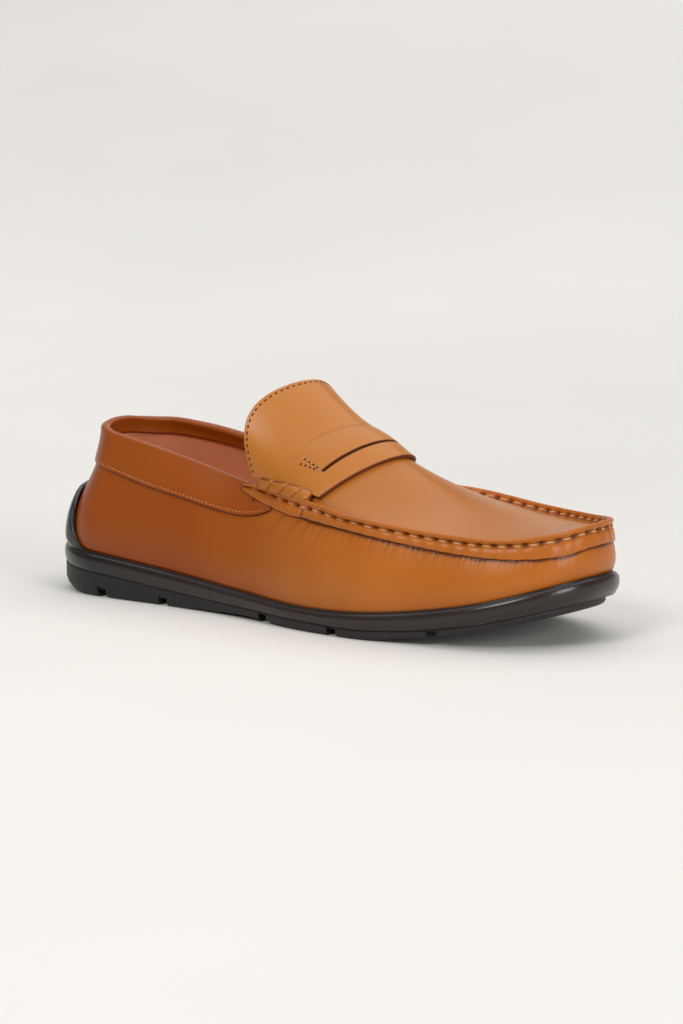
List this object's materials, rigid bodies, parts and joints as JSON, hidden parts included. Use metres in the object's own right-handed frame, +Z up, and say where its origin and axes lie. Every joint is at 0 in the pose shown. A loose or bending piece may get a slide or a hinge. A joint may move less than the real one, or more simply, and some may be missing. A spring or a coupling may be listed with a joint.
{
  "type": "driving shoe",
  "caption": "Slip-on moccasin driving shoe with a sewn apron seam, slotted saddle strap and low rubber cup sole turned up at the heel.",
  "frame": {"origin": "middle of the shoe's box, on the floor that it stands on", "axes": "+X from heel to toe, +Y to the inner (medial) side, +Z up"},
  "size_m": [0.287, 0.105, 0.1021],
  "materials": {
    "upper_leather": "smooth tan leather, satin",
    "lining_leather": "soft unglazed lining leather",
    "cup_rubber": "satin moulded rubber",
    "tread_rubber": "matt moulded rubber"
  },
  "bodies": {
    "root": {"outsole": "tread_rubber", "sole_cup": "cup_rubber", "insole": "lining_leather", "upper": "upper_leather", "collar": "upper_leather", "apron_seam": "upper_leather", "saddle": "upper_leather", "beefroll_lateral": "upper_leather", "beefroll_medial": "upper_leather"}
  },
  "joints": []
}
